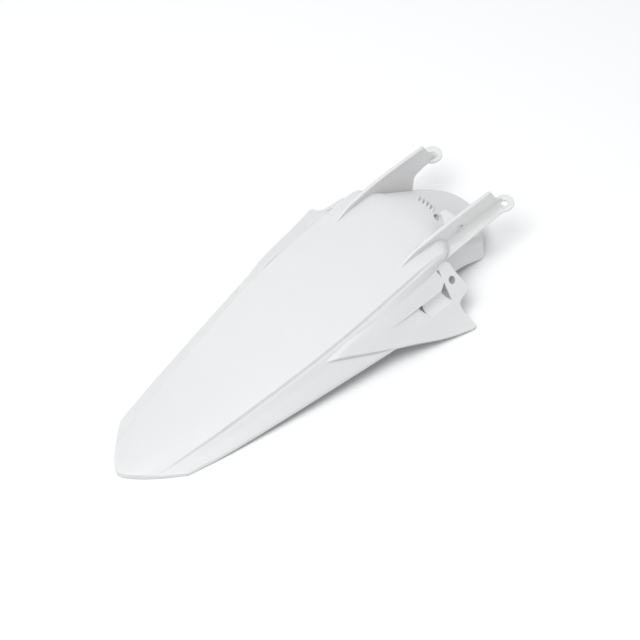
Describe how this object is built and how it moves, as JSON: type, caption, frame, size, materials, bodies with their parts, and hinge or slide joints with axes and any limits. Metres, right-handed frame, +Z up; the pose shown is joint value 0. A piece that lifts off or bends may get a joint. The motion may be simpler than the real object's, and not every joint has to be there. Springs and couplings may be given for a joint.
{
  "type": "motorcycle rear fender",
  "caption": "White moulded rear fender of an off-road motorcycle, with a pointed tail, side wings with holed tabs, and two upright prongs with eyes in front of a curved apron.",
  "frame": {"origin": "centre of the bounding box in plan, on the floor that the tail, the wing tips and the front corners rest on", "axes": "+Y runs forward from the tail to the prongs (the longest extent), +X to the rider's right, +Z up (the shortest extent)"},
  "size_m": [0.317, 0.6868, 0.1096],
  "materials": {
    "fender": "satin moulded white plastic"
  },
  "bodies": {
    "root": {"fender": "fender"}
  },
  "joints": []
}
